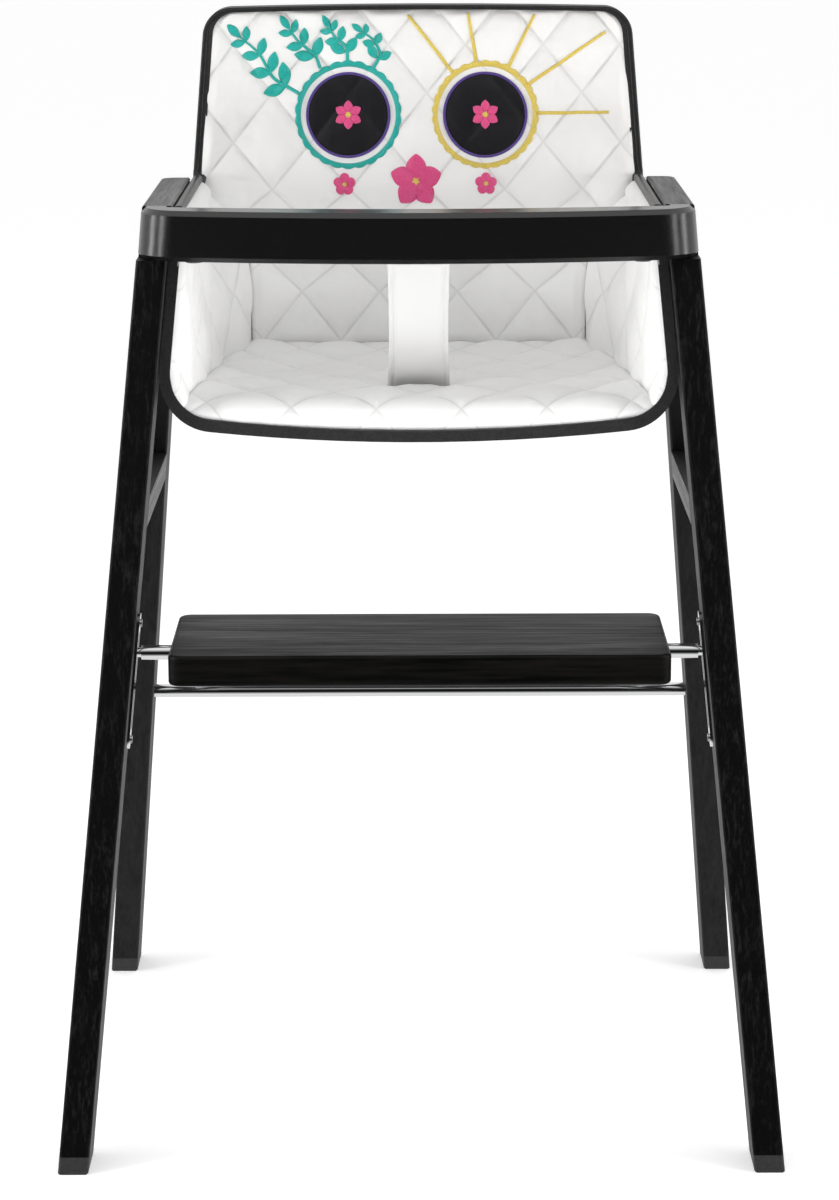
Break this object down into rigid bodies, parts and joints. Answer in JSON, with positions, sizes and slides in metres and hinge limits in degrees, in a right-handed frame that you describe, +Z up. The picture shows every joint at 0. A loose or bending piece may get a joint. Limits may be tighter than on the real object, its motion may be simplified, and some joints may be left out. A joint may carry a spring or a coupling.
{
  "type": "baby high chair",
  "caption": "High chair with splayed wooden side frames, an upholstered tub seat, a pull-out bumper bar with crotch strap and a height-adjustable footrest.",
  "frame": {"origin": "on the floor, under the middle of the four feet", "axes": "+Z up, the child faces -Y, +X to the right as seen from the front"},
  "size_m": [0.583, 0.5754, 0.901],
  "materials": {
    "black_wood": "satin",
    "glide_plastic": "matte",
    "dowel_wood": "matte",
    "chrome": "polished",
    "steel": "satin",
    "shell_plastic": "satin",
    "leatherette": "satin",
    "strap_cover": "satin",
    "bar_plastic": "satin",
    "button_plastic": "gloss"
  },
  "bodies": {
    "frame": {"front_leg_left": "black_wood", "front_leg_right": "black_wood", "rear_leg_left": "black_wood", "rear_leg_right": "black_wood", "side_rail_left": "black_wood", "side_rail_right": "black_wood", "armrest_left": "black_wood", "armrest_right": "black_wood", "front_foot_glide_left": "glide_plastic", "front_foot_glide_right": "glide_plastic", "rear_foot_glide_left": "glide_plastic", "rear_foot_glide_right": "glide_plastic", "rail_dowels": "dowel_wood", "armrest_dowels": "dowel_wood", "footrest_track_left": "chrome", "footrest_track_right": "chrome", "track_screws": "chrome", "rear_crossbar": "chrome", "crossbar_bolts": "chrome", "shell_screws": "steel", "anchor_screws": "steel", "strap_anchor": "steel", "seat_shell": "shell_plastic", "seat_pad": "leatherette", "back_pad": "leatherette", "side_pad_left": "leatherette", "side_pad_right": "leatherette", "crotch_strap": "strap_cover"},
    "footrest": {"footrest_rod": "chrome", "footrest_plank": "black_wood", "plank_set_screws": "steel"},
    "bumper_bar": {"bumper_bar": "bar_plastic", "bar_tongue_left": "steel", "bar_tongue_right": "steel", "tongue_screws": "steel", "button_spring_left": "steel", "button_spring_right": "steel"},
    "release_button_left": {"release_button_left": "button_plastic"},
    "release_button_right": {"release_button_right": "button_plastic"}
  },
  "joints": [
    {"name": "footrest_height", "type": "slide", "parent": "frame", "child": "footrest", "axis": [0, 0.2113, 0.9774], "range_m": [-0.0584, 0.0124]},
    {"name": "bumper_bar_pull", "type": "slide", "parent": "frame", "child": "bumper_bar", "axis": [0, -1, 0], "range_m": [0, 0.05]},
    {"name": "release_button_left_press", "type": "slide", "parent": "bumper_bar", "child": "release_button_left", "axis": [0, 0, 1], "range_m": [0, 0.0025], "stiffness_N_per_m": 400, "springref_m": -0.004, "deforming": ["button_spring_left"]},
    {"name": "release_button_right_press", "type": "slide", "parent": "bumper_bar", "child": "release_button_right", "axis": [0, 0, 1], "range_m": [0, 0.0025], "stiffness_N_per_m": 400, "springref_m": -0.004, "deforming": ["button_spring_right"]}
  ]
}
